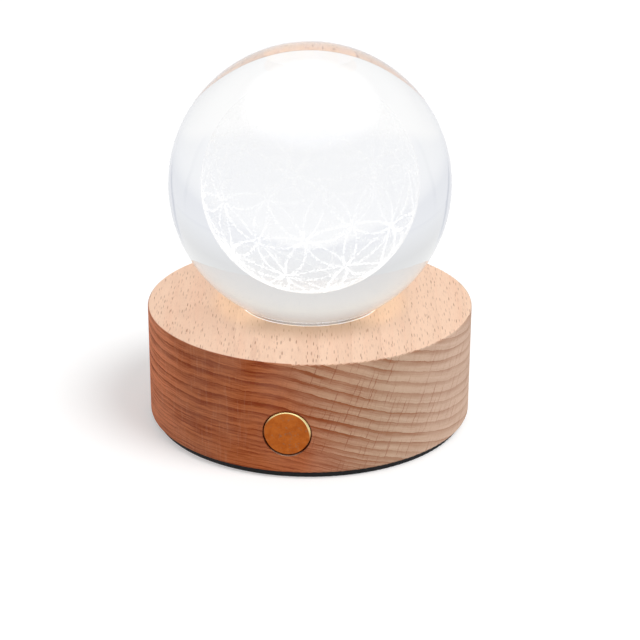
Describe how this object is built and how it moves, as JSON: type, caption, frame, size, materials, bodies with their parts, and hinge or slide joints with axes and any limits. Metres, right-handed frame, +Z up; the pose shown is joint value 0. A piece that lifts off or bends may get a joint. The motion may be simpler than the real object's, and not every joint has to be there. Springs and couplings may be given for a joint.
{
  "type": "crystal ball lamp",
  "caption": "Clear glass ball with an engraved lattice inside, resting on a round wooden base that lights it from below; a push button in the base's front switches it.",
  "frame": {"origin": "centre of the foot pad's underside", "axes": "+Z up through the ball's centre, -Y towards the button (front), +Y towards the charging port (rear)"},
  "size_m": [0.0936, 0.0936, 0.1096],
  "materials": {
    "crystal_glass": "clear, polished optical glass",
    "engraving": "white specks of a laser engraving inside the glass",
    "clear_silicone": "clear, soft, satin",
    "beech_wood": "sanded, unlacquered beech with growth rings and short dark rays",
    "black_plastic": "matte moulded",
    "screw_steel": "zinc plated",
    "black_foam": "matte closed-cell foam",
    "copper_brass": "copper-coloured brass, satin face with a bright chamfer",
    "spring_steel": "bright stamped",
    "switch_plunger_plastic": "ivory moulded",
    "green_board": "solder mask over glass-fibre laminate",
    "chip_plastic": "matte moulded",
    "coil_ferrite": "matte sintered",
    "capacitor_ceramic": "matte fired",
    "adhesive_tape": "foam tape",
    "battery_foil": "laminated foil pouch",
    "connector_plastic": "ivory moulded",
    "red_insulation": "silicone wire insulation",
    "black_insulation": "silicone wire insulation",
    "white_board": "white solder mask",
    "led_plastic": "white moulded package",
    "led_phosphor": "yellow phosphor in clear resin, lit"
  },
  "bodies": {
    "base": {"wooden_base": "beech_wood", "bottom_cover": "black_plastic", "bottom_cover_screws": "screw_steel", "foot_pad": "black_foam", "button_guide": "black_plastic", "switch_body": "black_plastic", "switch_frame": "spring_steel", "port_shell": "spring_steel", "port_tongue": "black_plastic", "port_bezel": "black_plastic", "control_board": "green_board", "control_board_screws": "screw_steel", "control_chips": "chip_plastic", "boost_coil": "coil_ferrite", "capacitors": "capacitor_ceramic", "battery_tape": "adhesive_tape", "battery_cell": "battery_foil", "lead_sockets": "connector_plastic", "lead_plugs": "connector_plastic", "battery_lead_red": "red_insulation", "battery_lead_black": "black_insulation", "led_lead_red": "red_insulation", "led_lead_black": "black_insulation", "led_board": "white_board", "led_packages": "led_plastic", "led_windows": "led_phosphor", "led_resistors": "chip_plastic", "led_board_screws": "screw_steel"},
    "ring": {"seat_ring": "clear_silicone"},
    "ball": {"crystal_ball": "crystal_glass", "engraved_lattice": "engraving"},
    "button": {"button_cap": "copper_brass", "button_clip": "spring_steel"},
    "plunger": {"switch_plunger": "switch_plunger_plastic"}
  },
  "joints": [
    {"name": "ball_turn", "type": "hinge", "parent": "base", "child": "ring", "pos_m": [0, 0, 0.0315], "axis": [0, 0, 1], "continuous": true},
    {"name": "ball_lift", "type": "slide", "parent": "ring", "child": "ball", "axis": [0, 0, 1], "range_m": [0, 0.06]},
    {"name": "button_press", "type": "slide", "parent": "base", "child": "button", "axis": [0, 1, 0], "range_m": [0, 0.0005], "stiffness_N_per_m": 3000},
    {"name": "switch_travel", "type": "slide", "parent": "base", "child": "plunger", "axis": [0, 1, 0], "range_m": [0, 0.0005]}
  ],
  "couplings": [
    {"joint": "switch_travel", "follows": "button_press", "ratio": 1}
  ]
}
